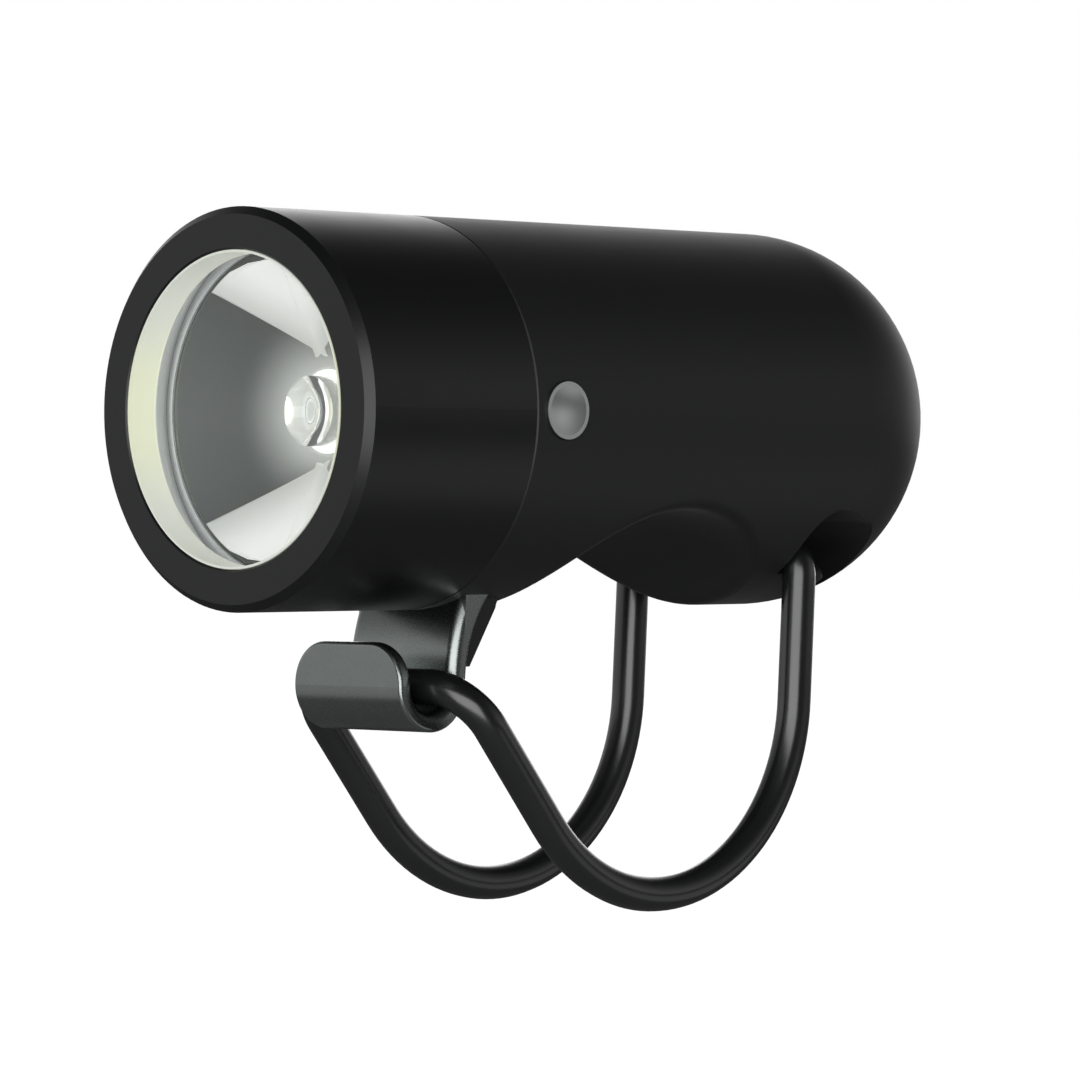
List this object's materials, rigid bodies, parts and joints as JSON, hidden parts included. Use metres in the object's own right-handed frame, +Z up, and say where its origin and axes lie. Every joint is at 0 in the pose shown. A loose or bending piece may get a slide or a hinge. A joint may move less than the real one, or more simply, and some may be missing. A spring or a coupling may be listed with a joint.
{
  "type": "bicycle headlight",
  "caption": "Barrel-shaped bicycle headlight with a saddle for the handlebar, held by a rubber loop on a front hook.",
  "frame": {"origin": "centre of the handlebar that the saddle sits on", "axes": "+X along the handlebar towards the button's side, -Y forwards along the beam, +Z up"},
  "size_m": [0.0341, 0.0788, 0.0606],
  "materials": {
    "bezel_black": "black anodised satin",
    "cream_plastic": "milky, slightly yellow",
    "seal_rubber": "matt",
    "clear_lens": "clear polished",
    "dark_plastic": "moulded",
    "phosphor": "yellow phosphor",
    "white_ceramic": "glazed",
    "board_metal": "white solder mask",
    "screw_steel": "zinc plated",
    "sink_aluminium": "turned",
    "contact_metal": "nickel plated",
    "soft_touch_black": "soft-touch black",
    "hook_metal": "grey satin, fine bead blast",
    "button_metal": "satin grey",
    "green_board": "solder mask",
    "socket_steel": "plated",
    "flap_rubber": "matt",
    "cell_wrap": "shrink sleeve over steel",
    "strap_rubber": "satin silicone"
  },
  "bodies": {
    "root": {"bezel": "bezel_black", "spill_ring": "cream_plastic", "lens_gasket": "seal_rubber", "collimator_lens": "clear_lens", "lens_holder": "dark_plastic", "led_phosphor": "phosphor", "led_package": "white_ceramic", "led_board": "board_metal", "led_board_screws": "screw_steel", "heat_sink": "sink_aluminium", "led_pins": "contact_metal", "body_seal": "seal_rubber", "body_shell": "soft_touch_black", "front_hook": "hook_metal", "button_seal": "seal_rubber", "button_switch": "dark_plastic", "driver_board": "green_board", "driver_chips": "dark_plastic", "driver_screws": "screw_steel", "charge_socket": "socket_steel", "battery_cell": "cell_wrap", "battery_carrier": "dark_plastic", "front_contact": "contact_metal", "rear_contact": "contact_metal"},
    "button": {"button_cap": "button_metal", "switch_plunger": "dark_plastic"},
    "flap": {"port_flap": "flap_rubber"},
    "strap": {"strap": "strap_rubber"}
  },
  "joints": [
    {"name": "button_press", "type": "slide", "parent": "root", "child": "button", "axis": [-1, 0, 0], "range_m": [0, 0.0005], "stiffness_N_per_m": 2000},
    {"name": "flap_hinge", "type": "hinge", "parent": "root", "child": "flap", "pos_m": [-0.01517, -0.01397, 0.03022], "axis": [0, 1, 0], "range_deg": [0, 90]},
    {"name": "strap_swing", "type": "hinge", "parent": "root", "child": "strap", "pos_m": [0, 0.01843, 0.01293], "axis": [1, 0, 0], "range_deg": [0, 80], "deforming": ["strap"]}
  ]
}
